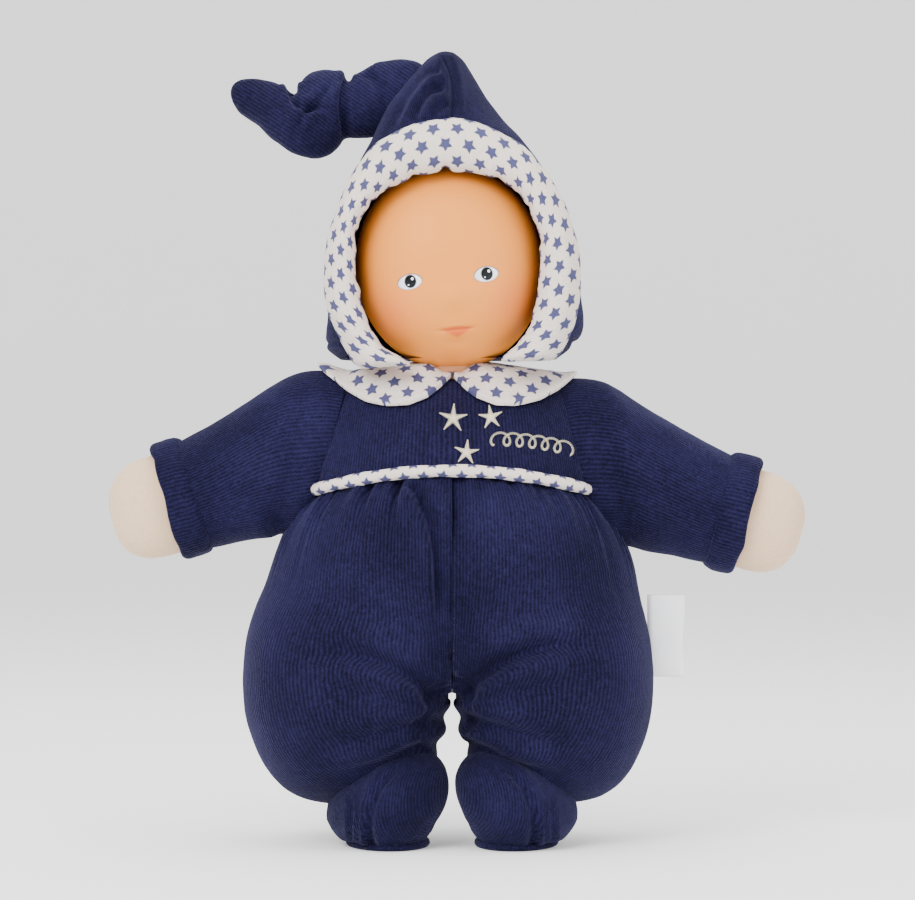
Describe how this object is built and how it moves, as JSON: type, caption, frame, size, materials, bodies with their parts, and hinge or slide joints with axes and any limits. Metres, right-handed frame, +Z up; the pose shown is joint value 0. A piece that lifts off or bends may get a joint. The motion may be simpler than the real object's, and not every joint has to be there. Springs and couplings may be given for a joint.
{
  "type": "interactive baby doll",
  "caption": "Soft cloth baby doll with a vinyl face, knotted pointed hood, star-print brim and collar, jointed limbs and a squeeze-to-play sound module.",
  "frame": {"origin": "on the floor, midway between the soles, under the middle of the doll's box", "axes": "+Z up, the doll faces -Y, its own left is +X"},
  "size_m": [0.2476, 0.0875, 0.2796],
  "materials": {
    "navy_velour": "short pile velour, fine ribs",
    "star_velour": "short pile velour, small printed stars",
    "vinyl_skin": "soft matte vinyl",
    "cloth_skin": "fine knit",
    "polyester_fill": "loose fibre filling",
    "bean_cloth": "plain woven pouch",
    "gold_thread": "satin stitch",
    "satin_label": "satin ribbon",
    "hook_and_loop": "hook and loop tape",
    "case_plastic": "moulded, matte",
    "board": "solder mask",
    "steel": "plain",
    "speaker_cone": "matte",
    "wire_red": "insulated",
    "wire_black": "insulated"
  },
  "bodies": {
    "torso": {"back_yoke": "navy_velour", "battery_door": "case_plastic", "button_cell_1": "steel", "button_cell_2": "steel", "button_cell_3": "steel", "chest_yoke": "navy_velour", "circuit_board": "board", "collar_left": "star_velour", "collar_right": "star_velour", "door_screw": "steel", "embroidered_star_1": "gold_thread", "embroidered_star_2": "gold_thread", "embroidered_star_3": "gold_thread", "loop_strip": "hook_and_loop", "module_case_back": "case_plastic", "module_case_front": "case_plastic", "module_pouch": "cloth_skin", "plate_spring": "steel", "romper_back_left": "navy_velour", "romper_back_right": "navy_velour", "romper_front_left": "navy_velour", "romper_front_right": "navy_velour", "speaker": "speaker_cone", "speaker_lead_1": "wire_red", "speaker_lead_2": "wire_black", "stitched_scallops": "gold_thread", "torso_stuffing": "polyester_fill", "waist_piping_back": "star_velour", "waist_piping_front": "star_velour"},
    "neck": {"neck": "cloth_skin"},
    "head": {"vinyl_face": "vinyl_skin", "head_back": "cloth_skin", "head_stuffing": "polyester_fill", "hood_left": "navy_velour", "hood_right": "navy_velour", "hood_brim": "star_velour"},
    "tail": {"hood_tail": "navy_velour"},
    "left_arm": {"sleeve_left": "navy_velour", "cuff_left": "navy_velour", "hand_left": "cloth_skin", "arm_stuffing_left": "polyester_fill"},
    "left_leg": {"trouser_leg_left": "navy_velour", "leg_stuffing_left": "polyester_fill", "bean_pouch_left": "bean_cloth", "bootie_left": "navy_velour", "sole_left": "navy_velour", "care_label": "satin_label"},
    "right_arm": {"sleeve_right": "navy_velour", "cuff_right": "navy_velour", "hand_right": "cloth_skin", "arm_stuffing_right": "polyester_fill"},
    "right_leg": {"trouser_leg_right": "navy_velour", "leg_stuffing_right": "polyester_fill", "bean_pouch_right": "bean_cloth", "bootie_right": "navy_velour", "sole_right": "navy_velour"},
    "flap": {"back_flap": "navy_velour", "hook_strip": "hook_and_loop"},
    "plate": {"push_plate": "case_plastic"}
  },
  "joints": [
    {"name": "neck_turn", "type": "hinge", "parent": "torso", "child": "neck", "pos_m": [0, 0.002, 0.167], "axis": [0, 0, 1], "range_deg": [-30, 30]},
    {"name": "head_nod", "type": "hinge", "parent": "neck", "child": "head", "pos_m": [0, 0.002, 0.167], "axis": [1, 0, 0], "range_deg": [-10, 8]},
    {"name": "tail_swing", "type": "hinge", "parent": "head", "child": "tail", "pos_m": [-0.024, 0.004, 0.261], "axis": [0, 1, 0], "range_deg": [-4, 36]},
    {"name": "shoulder_left", "type": "hinge", "parent": "torso", "child": "left_arm", "pos_m": [0.05, 0, 0.1425], "axis": [0, 1, 0], "range_deg": [-40, 8]},
    {"name": "shoulder_right", "type": "hinge", "parent": "torso", "child": "right_arm", "pos_m": [-0.05, 0, 0.1425], "axis": [0, -1, 0], "range_deg": [-40, 8]},
    {"name": "hip_left", "type": "hinge", "parent": "torso", "child": "left_leg", "pos_m": [0.0403, 0, 0.062], "axis": [-1, 0, 0], "range_deg": [-15, 75]},
    {"name": "hip_right", "type": "hinge", "parent": "torso", "child": "right_leg", "pos_m": [-0.0403, 0, 0.062], "axis": [-1, 0, 0], "range_deg": [-15, 75]},
    {"name": "flap_open", "type": "hinge", "parent": "torso", "child": "flap", "pos_m": [0, 0.0404, 0.126], "axis": [1, 0, 0], "range_deg": [0, 110]},
    {"name": "plate_press", "type": "slide", "parent": "torso", "child": "plate", "axis": [0, 1, 0], "range_m": [0, 0.0018], "stiffness_N_per_m": 800, "springref_m": -0.0005, "deforming": ["plate_spring"]}
  ]
}
